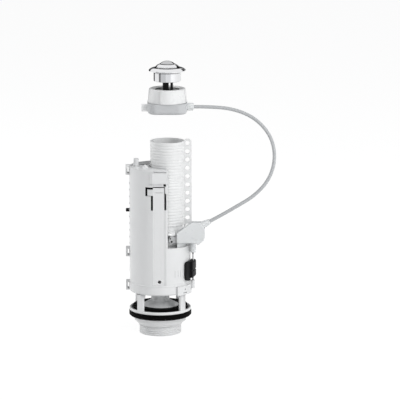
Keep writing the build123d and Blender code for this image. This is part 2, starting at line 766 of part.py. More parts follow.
# Lift lever, a bell crank whose nose lifts the lug on the lift tube
arm_angle = 90 + ferrule_angle
wire_x = lever_pivot_x + lever_cable_arm * cos(radians(arm_angle))
wire_z = lever_z + lever_cable_arm * sin(radians(arm_angle))
with BuildPart() as lift_lever:
    arm([
        (lever_pivot_x, lever_z, lever_hub_radius),
        (lever_nose_x + 4, lever_z - 0.6, lever_nose_radius - 0.6),
    ], -lever_front, -lever_back)
    arm([
        (lever_nose_x, lever_z, lever_nose_radius),
        (lever_nose_x - 1.6, lever_z - 4.6, 3.0),
        (lever_nose_x + 3.2, lever_z - 4.6, 3.0),
        (lever_nose_x + 3.4, lever_z - 1, 2.4),
    ], -lever_front, -lever_back)
    arm([
        (lever_pivot_x, lever_z, lever_hub_radius),
        (wire_x, wire_z, nipple_radius + 1.4),
    ], -lever_front, -lever_back)
    cross_rod(lever_pivot_x, lever_z, -lever_front, -lever_back, axle_radius + axle_gap, mode=Mode.SUBTRACT)
    cross_rod(wire_x, wire_z, -lever_front, -lever_back, nipple_radius + 0.05, mode=Mode.SUBTRACT)
    cross_rod(lever_nose_x - 2.0, lever_z - 1.2, -lever_front, -lever_back, 1.0, mode=Mode.SUBTRACT)
    cross_rod(lever_nose_x - 0.4, lever_z - 5.6, -lever_front, -lever_back, 1.4, mode=Mode.SUBTRACT)
lift_lever.part.label = "lift_lever"
export_step(lift_lever.part, "parts/lift_lever.step")

# Nipple on the cable wire at the lever
with BuildPart() as lever_nipple:
    cross_rod(wire_x, wire_z, -lever_front - 0.4, -lever_back + 0.4, nipple_radius)
lever_nipple.part.label = "lever_nipple"
export_step(lever_nipple.part, "parts/lever_nipple.step")

# Cable ferrule on the lever box
with BuildPart() as box_ferrule:
    with Locations(ferrule_plane):
        Cone(ferrule_base_radius, ferrule_tip_radius, ferrule_length,
             align=(Align.CENTER, Align.CENTER, Align.MIN))
    with Locations(ferrule_plane.offset(ferrule_length - cable_insert)):
        Cylinder(cable_radius + 0.05, cable_insert, align=(Align.CENTER, Align.CENTER, Align.MIN),
                 mode=Mode.SUBTRACT)
    with Locations(ferrule_plane):
        Cylinder(1.0, ferrule_length, align=(Align.CENTER, Align.CENTER, Align.MIN), mode=Mode.SUBTRACT)
box_ferrule.part.label = "box_ferrule"
export_step(box_ferrule.part, "parts/box_ferrule.step")

# Rail that the volume slider runs on
with BuildPart() as slider_rail:
    rod(rail_x, rail_y, rail_foot_top - rail_socket + seat_gap, rail_boss_bottom + rail_socket - seat_gap,
        rail_radius)
slider_rail.part.label = "slider_rail"
export_step(slider_rail.part, "parts/slider_rail.step")

# Volume slider, a thumb piece that hugs the wall
with BuildPart() as volume_slider:
    sector(tower_radius + 0.8, tower_radius + 4.4, slider_leaf, slider_block + 1, slider_bottom, slider_top)
    leaf_ends = volume_slider.edges().filter_by(GeomType.LINE).filter_by(Axis.Z, reverse=True)
    fillet(leaf_ends.sort_by(Axis.X)[:2], slider_corner)
    block_radius = tower_radius + 8.0
    sector(tower_radius + 0.8, block_radius, slider_block, slider_end,
           slider_bottom + slider_step, slider_top)
    arcs = volume_slider.edges().filter_by(GeomType.CIRCLE)
    outer_arcs = [arc for arc in arcs if arc.radius > block_radius - 0.1]
    fillet(outer_arcs, slider_edge)
    sector(block_radius - 1.2, block_radius + 1, slider_block - 1, slider_end + 2, slider_bottom + 13,
           slider_bottom + 15, mode=Mode.SUBTRACT)
    rod(rail_x, rail_y, slider_bottom, slider_top, rail_radius + axle_gap, mode=Mode.SUBTRACT)
volume_slider.part.label = "volume_slider"
export_step(volume_slider.part, "parts/volume_slider.step")

# Housing of the cable head, with the thread for the nut and the bearings for the rockers
with BuildPart() as head_housing:
    with BuildSketch(Plane.XY.offset(head_bottom)):
        with Locations((head_x, 0)):
            RectangleRounded(head_width, head_depth, head_corner)
    extrude(amount=head_top - head_bottom)
    fillet(head_housing.faces().sort_by(Axis.Z)[0].edges(), head_edge)
    block(head_x - 24, head_x - 11, -8, 8, head_bottom - 1, head_bottom + 1)
    block(head_x + 13, head_x + 23, -8, 8, head_bottom - 1, head_bottom + 1)
    rod(head_x, 0, head_top - head_wall, thread_top, thread_radius)
    with Locations(Location((head_x - head_width / 2 - stub_length / 2 + 1, 0, cable_z - 1.4), (0, 90, 0))):
        Cylinder(stub_radius, stub_length + 2)
    with BuildSketch(Plane.XY.offset(head_floor)):
        with Locations((head_x, 0)):
            RectangleRounded(head_width - 2 * head_wall, head_depth - 2 * head_wall, head_corner - head_wall)
    extrude(amount=head_top - head_floor - head_wall, mode=Mode.SUBTRACT)
    rod(head_x, 0, head_floor, thread_top, thread_radius - thread_wall, mode=Mode.SUBTRACT)
    post_half = rocker_hub_radius + 0.2
    for y in (-rocker_outer - 3, rocker_outer + 1):
        block(head_x + rocker_x - post_half, head_x + rocker_x + post_half, y, y + 2, head_floor - 0.5,
              rocker_z + post_half)
    cross_rod(head_x + rocker_x, rocker_z, -rocker_outer - 4, rocker_outer + 4, axle_radius + 0.05,
              mode=Mode.SUBTRACT)
    with Locations(Location((head_x - head_width / 2 - stub_length / 2 + 2, 0, cable_z - 1.4), (0, 90, 0))):
        Cylinder(stub_radius - 1.6, stub_length, mode=Mode.SUBTRACT)
    with Locations(Location((head_x + head_width / 2, 0, cable_z), (0, 90, 0))):
        Cylinder(1.0, 3 * head_wall, mode=Mode.SUBTRACT)
head_housing.part.label = "head_housing"
export_step(head_housing.part, "parts/head_housing.step")

# Cable ferrule on the head
head_ferrule_plane = Plane(
    origin=(head_x + head_width / 2, 0, cable_z),
    x_dir=(0, 1, 0),
    z_dir=(1, 0, 0),
)
with BuildPart() as head_ferrule:
    with Locations(head_ferrule_plane):
        Cylinder(head_ferrule_radius, head_ferrule_length, align=(Align.CENTER, Align.CENTER, Align.MIN))
    chamfer(head_ferrule.faces().sort_by(Axis.X)[-1].edges(), 1.2)
    with Locations(head_ferrule_plane.offset(head_ferrule_length - cable_insert)):
        Cylinder(cable_radius + 0.05, cable_insert, align=(Align.CENTER, Align.CENTER, Align.MIN),
                 mode=Mode.SUBTRACT)
    with Locations(head_ferrule_plane):
        Cylinder(1.0, head_ferrule_length, align=(Align.CENTER, Align.CENTER, Align.MIN), mode=Mode.SUBTRACT)
head_ferrule.part.label = "head_ferrule"
export_step(head_ferrule.part, "parts/head_ferrule.step")

# Axle of the two rockers
with BuildPart() as rocker_axle:
    cross_rod(head_x + rocker_x, rocker_z, -rocker_outer - 3, rocker_outer + 3, axle_radius)
rocker_axle.part.label = "rocker_axle"
export_step(rocker_axle.part, "parts/rocker_axle.step")

# Rocker of the full flush, which pulls the cable
with BuildPart() as full_rocker:
    arm([
        (head_x + rocker_x, rocker_z - 1.4, 1.4),
        (head_x + full_nose_x, rocker_z - 0.6, 1.4),
    ], -rocker_outer, -rocker_inner)
    cross_rod(head_x + full_nose_x, rocker_z, -rocker_outer, -rocker_inner, rocker_nose_radius)
    arm([
        (head_x + rocker_x, rocker_z, rocker_hub_radius),
        (head_x + rocker_x, cable_z, nipple_radius + 0.7),
    ], -rocker_outer, -rocker_inner)
    cross_rod(head_x + rocker_x, rocker_z, -rocker_outer, -rocker_inner, axle_radius + axle_gap,
              mode=Mode.SUBTRACT)
    cross_rod(head_x + rocker_x, cable_z, -rocker_outer, -rocker_inner, nipple_radius + 0.05,
              mode=Mode.SUBTRACT)
full_rocker.part.label = "full_rocker"
export_step(full_rocker.part, "parts/full_rocker.step")

# Nipple on the cable wire at the rocker
with BuildPart() as rocker_nipple:
    cross_rod(head_x + rocker_x, cable_z, -rocker_outer - 0.3, -rocker_inner + 0.3, nipple_radius)
rocker_nipple.part.label = "rocker_nipple"
export_step(rocker_nipple.part, "parts/rocker_nipple.step")

# Rocker of the half flush
with BuildPart() as half_rocker:
    arm([
        (head_x + rocker_x, rocker_z - 1.4, 1.4),
        (head_x + half_nose_x, rocker_z - 0.6, 1.4),
    ], rocker_inner, rocker_outer)
    cross_rod(head_x + half_nose_x, rocker_z, rocker_inner, rocker_outer, rocker_nose_radius)
    cross_rod(head_x + rocker_x, rocker_z, rocker_inner, rocker_outer, rocker_hub_radius)
    cross_rod(head_x + rocker_x, rocker_z, rocker_inner, rocker_outer, axle_radius + axle_gap,
              mode=Mode.SUBTRACT)
half_rocker.part.label = "half_rocker"
export_step(half_rocker.part, "parts/half_rocker.step")

# Return springs under the noses of the rockers
spring_bottom = head_floor + spring_wire
spring_height = rocker_z - rocker_nose_radius - seat_gap - head_floor - 2 * spring_wire
spring_y = (rocker_inner + rocker_outer) / 2


def coil(x, y):
    """Helical spring in the open part."""
    with BuildLine() as path:
        Helix(spring_height / spring_turns, spring_height, spring_radius, center=(x, y, spring_bottom))
    with BuildSketch(Plane(path.line @ 0, z_dir=path.line % 0)) as section:
        Circle(spring_wire)
    sweep(section.sketch, path=path.line)


with BuildPart() as full_spring:
    coil(head_x + full_nose_x, -spring_y)
full_spring.part.label = "full_spring"
export_step(full_spring.part, "parts/full_spring.step")

with BuildPart() as half_spring:
    coil(head_x + half_nose_x, spring_y)
half_spring.part.label = "half_spring"
export_step(half_spring.part, "parts/half_spring.step")


def half_round(x0, x1, radius, z0, z1, mode=Mode.ADD):
    """Upright slice of a round bar about the head axis, between two distances across it."""
    with BuildSketch(Plane.XY.offset(z0)) as outline:
        with Locations((head_x + rod_shift, 0)):
            Circle(radius)
        with Locations((head_x + (x0 + x1) / 2, 0)):
            Rectangle(x1 - x0, 3 * radius, mode=Mode.INTERSECT)
    extrude(outline.sketch, amount=z1 - z0, mode=mode)


# Guide for the push rods, a disc on top of the thread
with BuildPart() as rod_guide:
    rod(head_x, 0, thread_top, guide_top, thread_radius - cover)
    rod(head_x, 0, guide_top, guide_top + guide_boss_height, guide_boss_radius)
    guide_end = guide_top + guide_boss_height
    half_round(-2 * rod_radius, rod_slot_left + 0.3, rod_radius + 0.3, thread_top, guide_end,
               mode=Mode.SUBTRACT)
    half_round(rod_slot_right - 0.3, 2 * rod_radius, rod_radius + 0.3, thread_top, guide_end,
               mode=Mode.SUBTRACT)
rod_guide.part.label = "rod_guide"
export_step(rod_guide.part, "parts/rod_guide.step")

# Gasket ring round the guide
with BuildPart() as guide_gasket:
    turned([
        (guide_boss_radius + 0.1, guide_top),
        (guide_boss_radius + gasket_width, guide_top),
        (guide_boss_radius + gasket_width, guide_top + guide_boss_height + 0.3),
        (guide_boss_radius + 0.1, guide_top + guide_boss_height + 0.3),
    ], head_x)
guide_gasket.part.label = "guide_gasket"
export_step(guide_gasket.part, "parts/guide_gasket.step")

# Clamp nut of the head
with BuildPart() as clamp_nut:
    nut_roof = guide_top + seat_gap
    turned([
        (thread_radius + cover, nut_bottom),
        (nut_bottom_radius - 0.4, nut_bottom),
        (nut_bottom_radius, nut_bottom + 0.6),
        (nut_top_radius, nut_top - 1.6),
        (nut_top_radius - 0.5, nut_top - 0.5),
        (nut_top_radius - 1.5, nut_top),
        (nut_hole_radius + 4.4, nut_top),
        (nut_hole_radius, nut_top - 1.4),
        (nut_hole_radius, nut_roof),
        (thread_radius + cover, nut_roof),
    ], head_x)
    rib_lean = degrees((nut_bottom_radius - nut_top_radius) / (nut_top - nut_bottom))
    with Locations((head_x, 0, (nut_bottom + nut_top) / 2)):
        with PolarLocations((nut_bottom_radius + nut_top_radius) / 2 - 0.2, 4, start_angle=nut_rib_angle):
            Box(2.2, 3.4, nut_top - nut_bottom - 3.6, rotation=(0, -rib_lean, 0))
clamp_nut.part.label = "clamp_nut"
export_step(clamp_nut.part, "parts/clamp_nut.step")

# Push rod of the full flush, the larger part of a split round bar
floor_thickness = 1.8
with BuildPart() as full_push_rod:
    half_round(-2 * rod_radius, rod_slot_left, rod_radius, rod_bottom, button_skirt_bottom)
    block(head_x - 2 * rod_radius, head_x + 2 * rod_radius, -rocker_inner / 2, 2 * rod_radius, rod_bottom - 1,
          rod_notch_top, mode=Mode.SUBTRACT)
full_push_rod.part.label = "full_push_rod"
export_step(full_push_rod.part, "parts/full_push_rod.step")

# Push rod of the half flush, the smaller part of the split bar
with BuildPart() as half_push_rod:
    half_round(rod_slot_right, 2 * rod_radius, rod_radius, rod_bottom, cap_skirt)
half_push_rod.part.label = "half_push_rod"
export_step(half_push_rod.part, "parts/half_push_rod.step")

# Bezel with the collar that goes through the lid
with BuildPart() as button_bezel:
    turned([
        (bezel_bore + 1.4, bezel_crown),
        (bezel_bore + 0.4, bezel_crown),
        (bezel_bore, bezel_crown - 0.4),
        (bezel_bore, bezel_collar_bottom + bezel_wall),
        (bezel_lip_radius, bezel_collar_bottom + bezel_wall),
        (bezel_lip_radius, bezel_collar_bottom),
        (bezel_collar_radius - 0.4, bezel_collar_bottom),
        (bezel_collar_radius, bezel_collar_bottom + 0.4),
        (bezel_collar_radius, bezel_underside),
        (bezel_radius - 0.4, bezel_underside),
        (bezel_radius, bezel_underside + 0.5),
        (bezel_radius, bezel_underside + bezel_edge),
    ], head_x, bulge=bezel_bulge)
button_bezel.part.label = "button_bezel"
export_step(button_bezel.part, "parts/button_bezel.step")

# Ring button of the full flush
sleeve_radius = cap_radius + button_gap
with BuildPart() as full_flush_button:
    turned([
        (sleeve_radius + 0.3, cap_base - ring_step),
        (sleeve_radius, cap_base - ring_step - 0.3),
        (sleeve_radius, button_skirt_bottom + floor_thickness),
        (0, button_skirt_bottom + floor_thickness),
        (0, button_skirt_bottom),
        (button_radius, button_skirt_bottom),
        (button_radius, button_rim - 0.3),
    ], head_x, bulge=button_bulge)
    turned([
        (sleeve_radius + button_wall, button_skirt_bottom + floor_thickness),
        (button_radius - button_wall, button_skirt_bottom + floor_thickness),
        (button_radius - button_wall, button_rim - 1.2),
        (button_radius - 3.2, button_rim + 0.6),
        (sleeve_radius + button_wall, cap_base - 3.8),
    ], head_x, mode=Mode.SUBTRACT)
    half_round(rod_slot_right - running_gap, 2 * rod_radius, rod_radius + running_gap, button_skirt_bottom,
               button_skirt_bottom + floor_thickness, mode=Mode.SUBTRACT)
full_flush_button.part.label = "full_flush_button"
export_step(full_flush_button.part, "parts/full_flush_button.step")

# Centre button of the half flush
with BuildPart() as half_flush_button:
    turned([
        (0, cap_apex),
        (0, cap_skirt),
        (cap_radius, cap_skirt),
        (cap_radius, cap_base - 0.4),
    ], head_x, bulge=cap_bulge)
half_flush_button.part.label = "half_flush_button"
export_step(half_flush_button.part, "parts/half_flush_button.step")

# Control cable, straight runs joined by tangent arcs
tip = ferrule_plane.offset(ferrule_length - cable_insert).origin
cable_points = [
    (head_x + head_width / 2 + head_ferrule_length - cable_insert, 0, cable_z),
    (69.9, 0, cable_z),
    (100.0, -0.7, 322.9),
    (124.6, -3.1, 314.8),
    (142.7, -6.9, 302.2),
    (156.3, -11.5, 284.4),
    (162.0, -16.5, 263.3),
    (160.1, -21.3, 241.6),
    (150.5, -25.5, 220.8),
    (132.1, -28.5, 202.6),
    (113.4, ferrule_y + 0.3, 191.2),
    (tip.X + 22 * cos(radians(ferrule_angle)), ferrule_y, tip.Z + 22 * sin(radians(ferrule_angle))),
    (tip.X, ferrule_y, tip.Z),
]
cable_radii = []
for before, here, after in zip(cable_points, cable_points[1:], cable_points[2:]):
    run_in = Vector(*here) - Vector(*before)
    run_out = Vector(*after) - Vector(*here)
    turn = acos(run_in.normalized().dot(run_out.normalized()))
    cable_radii.append(0.45 * min(run_in.length, run_out.length) / tan(turn / 2))
with BuildPart() as cable_sheath:
    with BuildLine() as cable_path:
        FilletPolyline(*cable_points, radius=cable_radii)
    with BuildSketch(Plane(cable_path.line @ 0, z_dir=cable_path.line % 0)) as cable_section:
        Circle(cable_radius)
    sweep(cable_section.sketch, path=cable_path.line)
cable_sheath.part.label = "cable_sheath"
export_step(cable_sheath.part, "parts/cable_sheath.step")

cable_length = sum(edge.length for edge in cable_path.edges())
print("cable length", round(cable_length, 2))
print("cable volume", round(cable_sheath.part.volume, 1))
print("section times length", round(pi * cable_radius ** 2 * cable_length, 1))
print("lever angle", round(lever_angle, 5), "rocker angle", round(rocker_angle, 5))
print("full press", round(full_press, 4), "half angle", round(half_angle, 5))
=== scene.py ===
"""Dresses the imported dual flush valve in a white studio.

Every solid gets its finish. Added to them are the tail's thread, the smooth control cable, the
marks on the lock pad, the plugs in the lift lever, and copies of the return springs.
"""

import json
import math

import bmesh
import bpy
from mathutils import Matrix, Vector


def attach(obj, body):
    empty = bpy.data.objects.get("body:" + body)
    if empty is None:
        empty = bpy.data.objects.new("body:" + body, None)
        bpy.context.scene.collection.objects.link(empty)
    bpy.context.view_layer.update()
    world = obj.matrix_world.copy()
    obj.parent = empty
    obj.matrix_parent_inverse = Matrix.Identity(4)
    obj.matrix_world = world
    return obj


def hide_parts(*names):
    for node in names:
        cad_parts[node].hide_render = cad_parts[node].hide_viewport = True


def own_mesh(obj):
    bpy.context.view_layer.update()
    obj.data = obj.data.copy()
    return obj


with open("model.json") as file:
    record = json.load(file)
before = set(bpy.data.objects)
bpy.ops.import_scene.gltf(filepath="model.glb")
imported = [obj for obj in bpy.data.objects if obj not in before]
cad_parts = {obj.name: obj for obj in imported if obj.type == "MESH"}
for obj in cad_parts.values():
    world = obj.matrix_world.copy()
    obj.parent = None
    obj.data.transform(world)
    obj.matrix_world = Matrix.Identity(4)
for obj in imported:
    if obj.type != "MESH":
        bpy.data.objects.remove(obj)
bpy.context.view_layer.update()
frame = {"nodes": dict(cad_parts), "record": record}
nodes = frame["nodes"]
mounts = {mount["name"]: mount for mount in frame["record"]["mounts"]}

MM = 0.001

# Camera, from the photograph's framing: place and reach in metres, lens and sensor in millimetres
CAMERA_PLACE = (0.05664, -3.92651, 0.95475)
CAMERA_TILT = math.radians(79)
CAMERA_LENS = 254.0
CAMERA_SENSOR = 36.0
CAMERA_REACH = 50

# Soft lamps: name, place and size in metres, power in watts
LAMP_AIM = (0.02, 0, 0.2)
LAMPS = (
    ("key", (1.9, -1.8, 1.4), (2.2, 2.2), 55),
    ("fill", (-1.8, -1.8, 0.9), (1.6, 1.6), 1.5),
    ("rim", (-1.8, 0.7, 0.8), (0.6, 1.6), 21),
    ("top", (0.2, -0.7, 2.4), (2.0, 2.0), 12),
)

# Grey cards: name, place, width and height in metres, turn about Z in degrees, level of grey
CARD_TINT = (1, 1.01, 1.03)
CARDS = (
    ("card_back", (0, 1.4, 0.45), (0.7, 0.9), 0, 0.12),
    ("card_back_left", (-0.75, 1.3, 0.5), (0.97, 1.0), -150, 0.03),
    ("card_back_right", (1.15, 1.0, 0.85), (1.7, 0.9), -30, 0.03),
    ("card_left", (-1.45, -0.66, 0.3), (0.52, 0.8), -66, 0.22),
    ("card_left_front", (-1.0, -1.5, 0.3), (1.5, 0.8), -34, 0.66),
    ("card_front", (0.36, -2.07, 0.2), (1.5, 0.8), 10, 0.85),
)

# Surroundings, and the floor: its half width in metres, and the share of it that shows plain white
WHITE = (1.0, 1.0, 1.0)
AMBIENT_COLOUR = (0.97, 0.985, 1.0)
AMBIENT_STRENGTH = 0.33
FLOOR_HALF_WIDTH = 6
FLOOR_COLOUR = (0.9, 0.9, 0.9)
FLOOR_ROUGHNESS = 0.9
FLOOR_GLOSS = 0.1
FLOOR_WHITE_SHARE = 0.82
FLOOR_WHITE_STRENGTH = 1.1

# Noises of the finishes: features in a metre, and levels of detail
FLOW_CLOUDS = (55, 4)
WORN_GLOSS = (130, 5)
SPARK_GRAIN = (2600, 2)
SINK_WAVES = (90, 2)
RUBBER_BLOOM = (70, 6)
RUBBER_WEAR = (240, 4)
RUBBER_GRAIN = (1800, 3)
PLATING_CLOUDS = (40, 3)
PLATING_STREAKS = (900, 4)

# Finishes: depths, reaches and edge radii in metres, the rest as shares
PLASTIC_GRAIN_DEPTH = 0.00004
PLASTIC_WAVE_DEPTH = 0.00008
PLASTIC_EDGE = 0.0006
# Painted shade: how far plastic's occlusion reaches into inside corners to darken them
PLASTIC_SHADE_REACH = 0.006
PLASTIC_GLOW_RADIUS = (1.0, 1.0, 0.95)
GLOSSIER, DULLER = 0.05, 0.06
RUBBER_ROUGHNESS = (0.5, 0.72)
RUBBER_GLOSS = 0.04
RUBBER_GRAIN_DEPTH = 0.00006
RUBBER_EDGE = 0.0006
BLOOM_GAIN = 2
PLATING_EDGE = 0.0004
# Painted shade in plating's seams and corners: how dark it gets, and how far the occlusion reaches
PLATING_CORNER_SHADE = 0.02
PLATING_SHADE_REACH = 0.0035
PLATING_DEEPER = 0.95
STREAK_SMOOTH, STREAK_ROUGH = 0.7, 1.5
NOISE_LOW, NOISE_HIGH = 0.3, 0.7
RAYS_PER_SAMPLE = 6

# Sockets of a Mix node for colours
MIX_FACTOR, MIX_FIRST, MIX_SECOND, MIX_RESULT = 0, 6, 7, 2

# Control cable: the route's points in millimetres, from the head to the lever box, and its length
# and diameter in metres
CABLE_ROUTE = (
    (45.0, 0.0, 325.4),
    (69.9, 0.0, 325.4),
    (100.0, -0.7, 322.9),
    (124.6, -3.1, 314.8),
    (142.7, -6.9, 302.2),
    (156.3, -11.5, 284.4),
    (162.0, -16.5, 263.3),
    (160.1, -21.3, 241.6),
    (150.5, -25.5, 220.8),
    (132.1, -28.5, 202.6),
    (113.4, -29.7, 191.2),
    (87.288, -30.0, 175.833),
    (67.863, -30.0, 165.505),
)
CABLE_DIAMETER = 0.005
CABLE_ROUND_STEPS = 6
CABLE_RUN_STEPS = 24

# Pipe thread on the tail, in millimetres and degrees
THREAD_PITCH = 2.9
THREAD_DEPTH = 1.35
THREAD_RUNOUT = 1.2
THREAD_SIDES = 144
THREAD_ROWS_PER_PITCH = 12
THREAD_SMOOTH_ANGLE = 35

# Plain tail wall that the thread replaces, in millimetres: how far its corners may lie from the
# crest radius and past its ends, and how near to each other they are joined
TAIL_SKIN = 0.05
TAIL_END_SLACK = 0.1
WELD_DISTANCE = 0.002

# Left end of the head's box, where its stub starts, in millimetres
STUB_START = -17.5

# Lock marks: radius of the pad about the tail axis, the marks' height over it and root under it, in
# millimetres, and the share by which their tops are smaller. Places and outlines are angles from
# the front towards the right, in degrees, and heights in millimetres
PAD_RADIUS = 46.3
MARK_HEIGHT = 0.12
MARK_ROOT = 0.1
MARK_TAPER = 0.06
LOCK_DOT_PLACE = (50.8, 68.6)
LOCK_DOT_RADIUS = 0.85
LOCK_DOT_SIDES = 20
LOCK_LINE = ((45.6, 63.3), (52.5, 63.3), (52.5, 64.1), (45.6, 64.1))
LOCK_ARROW = ((52.6, 62.5), (56.0, 63.7), (52.6, 64.9))

# Holes in the lift lever's nose: X, Z and radius, with the Y of the lever's back, in millimetres
LEVER_HOLES = ((15.0, 142.2, 1.0), (16.6, 137.8, 1.4))
LEVER_BACK = -27.0

# Plugs in these holes: heights from the lever's back and play in the hole, in millimetres
PLUG_FOOT = 0.2
PLUG_SHOULDER = 5.9
PLUG_RIM = 6.2
PLUG_TOP = 6.35
PLUG_PLAY = 0.05
PLUG_RIM_INSET = 0.3
PLUG_TOP_SHARE = 0.4
PLUG_SIDES = 40
PLUG_SMOOTH_ANGLE = 40


def shader(name):
    """New node material, with its tree and its Principled shader."""
    material = bpy.data.materials.new(name)
    material.use_nodes = True
    tree = material.node_tree
    return material, tree, tree.nodes["Principled BSDF"]


def put(tree, value, socket):
    """Set a socket to a number or a colour, or link an output to it."""
    if isinstance(value, bpy.types.NodeSocket):
        tree.links.new(value, socket)
    elif isinstance(value, tuple):
        socket.default_value = (*value, 1)
    else:
        socket.default_value = value


def calculated(tree, operation, first, second, clamp=False):
    """Result of a Math node's operation on two numbers or outputs."""
    node = tree.nodes.new("ShaderNodeMath")
    node.operation = operation
    node.use_clamp = clamp
    put(tree, first, node.inputs[0])
    put(tree, second, node.inputs[1])
    return node.outputs["Value"]


def noise(tree, scale, detail, stretch=(1, 1, 1)):
    """Noise in the object's own coordinates, in features of about 1/scale metres."""
    place = tree.nodes.new("ShaderNodeTexCoord")
    mapping = tree.nodes.new("ShaderNodeMapping")
    mapping.inputs["Scale"].default_value = stretch
    texture = tree.nodes.new("ShaderNodeTexNoise")
    texture.inputs["Scale"].default_value = scale
    texture.inputs["Detail"].default_value = detail
    tree.links.new(place.outputs["Object"], mapping.inputs["Vector"])
    tree.links.new(mapping.outputs["Vector"], texture.inputs["Vector"])
    return texture.outputs["Fac"]


def ranged(tree, value, low, high, start=NOISE_LOW, end=NOISE_HIGH):
    """Value between start and end, such as a noise, spread between two numbers."""
    node = tree.nodes.new("ShaderNodeMapRange")
    node.inputs["From Min"].default_value = start
    node.inputs["From Max"].default_value = end
    node.inputs["To Min"].default_value = low
    node.inputs["To Max"].default_value = high
    tree.links.new(value, node.inputs["Value"])
    return node.outputs["Result"]


def mixed(tree, factor, first, second, way="MIX"):
    """Colour made of two colours or colour outputs."""
    node = tree.nodes.new("ShaderNodeMix")
    node.data_type = "RGBA"
    node.blend_type = way
    put(tree, factor, node.inputs[MIX_FACTOR])
    put(tree, first, node.inputs[MIX_FIRST])
    put(tree, second, node.inputs[MIX_SECOND])
    return node.outputs[MIX_RESULT]


def seam_shade(tree, colour, depth, reach, line=None):
    """Darker colour in seams and inside corners, down to depth times the colour.

    A line is (darkest, clear) openness from 0 to 1, which makes a narrow dark line of the shade.
    """
    # Painted shade: occlusion darkens the colour where seams and inside corners block the light
    occlusion = tree.nodes.new("ShaderNodeAmbientOcclusion")
    occlusion.samples = RAYS_PER_SAMPLE
    occlusion.inputs["Distance"].default_value = reach
    openness = occlusion.outputs["AO"]
    if line:
        openness = ranged(tree, openness, 0, 1, *line)
    shade = mixed(tree, openness, (depth, depth, depth), WHITE)
    return mixed(tree, 1, colour, shade, "MULTIPLY")


def relief(tree, surface, heights, edge):
    """Round the edges and lay bumps over each other: heights are (value, depth in metres) pairs."""
    normal = None
    if edge > 0:
        bevel = tree.nodes.new("ShaderNodeBevel")
        bevel.samples = RAYS_PER_SAMPLE
        bevel.inputs["Radius"].default_value = edge
        normal = bevel.outputs["Normal"]
    for value, depth in heights:
        bump = tree.nodes.new("ShaderNodeBump")
        bump.inputs["Strength"].default_value = 1
        bump.inputs["Distance"].default_value = depth
        tree.links.new(value, bump.inputs["Height"])
        if normal:
            tree.links.new(normal, bump.inputs["Normal"])
        normal = bump.outputs["Normal"]
    tree.links.new(normal, surface.inputs["Normal"])


def left_of(tree, limit):
    """1 where the object's own X is under a limit in metres, else 0."""
    place = tree.nodes.new("ShaderNodeTexCoord")
    axes = tree.nodes.new("ShaderNodeSeparateXYZ")
    tree.links.new(place.outputs["Object"], axes.inputs["Vector"])
    return calculated(tree, "LESS_THAN", axes.outputs["X"], limit)


def plastic(
    name, colour, rough, edge=PLASTIC_EDGE, cloud=0.02, corner_shade=0.88, gloss=0.5, glow=None, tip=None
):
    """Moulded plastic: faint flow clouds, spark-eroded grain, worn gloss and soft edges.

    The cloud is the share by which the colour varies, and the corner_shade the share of it that is
    left in inside corners, as painted shade. A glow is (weight, reach in metres) of light that
    spreads inside milky plastic. A tip is (X limit in metres, colour) for a lighter colour at the
    left end, partly the part's own paler tone and partly painted light.
    """
    material, tree, surface = shader(name)
    lighter = tuple(min(1.0, c * (1 + cloud)) for c in colour)
    deeper = tuple(c * (1 - cloud) for c in colour)
    tint = mixed(tree, noise(tree, *FLOW_CLOUDS), deeper, lighter)
    # Lighter left end: partly the part's own tone, partly painted light
    if tip:
        limit, tip_tone_and_light = tip
        tint = mixed(tree, left_of(tree, limit), tint, tip_tone_and_light)
    tint = seam_shade(tree, tint, corner_shade, PLASTIC_SHADE_REACH)
    tree.links.new(tint, surface.inputs["Base Color"])
    wear = ranged(tree, noise(tree, *WORN_GLOSS), rough - GLOSSIER, rough + DULLER)
    tree.links.new(wear, surface.inputs["Roughness"])
    surface.inputs["Specular IOR Level"].default_value = gloss
    if glow:
        weight, reach = glow
        surface.inputs["Subsurface Weight"].default_value = weight
        surface.inputs["Subsurface Radius"].default_value = PLASTIC_GLOW_RADIUS
        surface.inputs["Subsurface Scale"].default_value = reach
    grain = (noise(tree, *SPARK_GRAIN), PLASTIC_GRAIN_DEPTH)
    waves = (noise(tree, *SINK_WAVES), PLASTIC_WAVE_DEPTH)
    relief(tree, surface, (grain, waves), edge)
    return material


def rubber(name, colour):
    """Matt moulded rubber with a dusty bloom."""
    material, tree, surface = shader(name)
    bloom = tuple(c * BLOOM_GAIN for c in colour)
    tint = mixed(tree, noise(tree, *RUBBER_BLOOM), colour, bloom)
    tree.links.new(tint, surface.inputs["Base Color"])
    wear = ranged(tree, noise(tree, *RUBBER_WEAR), *RUBBER_ROUGHNESS)
    tree.links.new(wear, surface.inputs["Roughness"])
    surface.inputs["Specular IOR Level"].default_value = RUBBER_GLOSS
    grain = (noise(tree, *RUBBER_GRAIN), RUBBER_GRAIN_DEPTH)
    relief(tree, surface, (grain,), RUBBER_EDGE)
    return material


def plated(name, colour, rough, grain, stretch=(1, 1, 1), line=(0.7, 0.93)):
    """Metal: bright plating, or drawn steel where the grain is stretched along the part.

    The grain's depth is in metres. Inside corners get painted shade, and a line is the openness
    that seam_shade takes for its dark line.
    """
    material, tree, surface = shader(name)
    deeper = tuple(c * PLATING_DEEPER for c in colour)
    tint = mixed(tree, noise(tree, *PLATING_CLOUDS), deeper, colour)
    tint = seam_shade(tree, tint, PLATING_CORNER_SHADE, PLATING_SHADE_REACH, line)
    tree.links.new(tint, surface.inputs["Base Color"])
    surface.inputs["Metallic"].default_value = 1
    streaks = noise(tree, *PLATING_STREAKS, stretch)
    wear = ranged(tree, streaks, rough * STREAK_SMOOTH, rough * STREAK_ROUGH)
    tree.links.new(wear, surface.inputs["Roughness"])
    relief(tree, surface, ((streaks, grain),), PLATING_EDGE)
    return material


CHROME = {"colour": (0.83, 0.835, 0.85), "rough": 0.06, "grain": 0.000002}
# Lighter left end of the head's box: partly the stub's own paler tone, partly painted light on its
# shaded side
STUB_TONE_AND_LIGHT = (STUB_START * MM, (0.92, 0.925, 0.925))

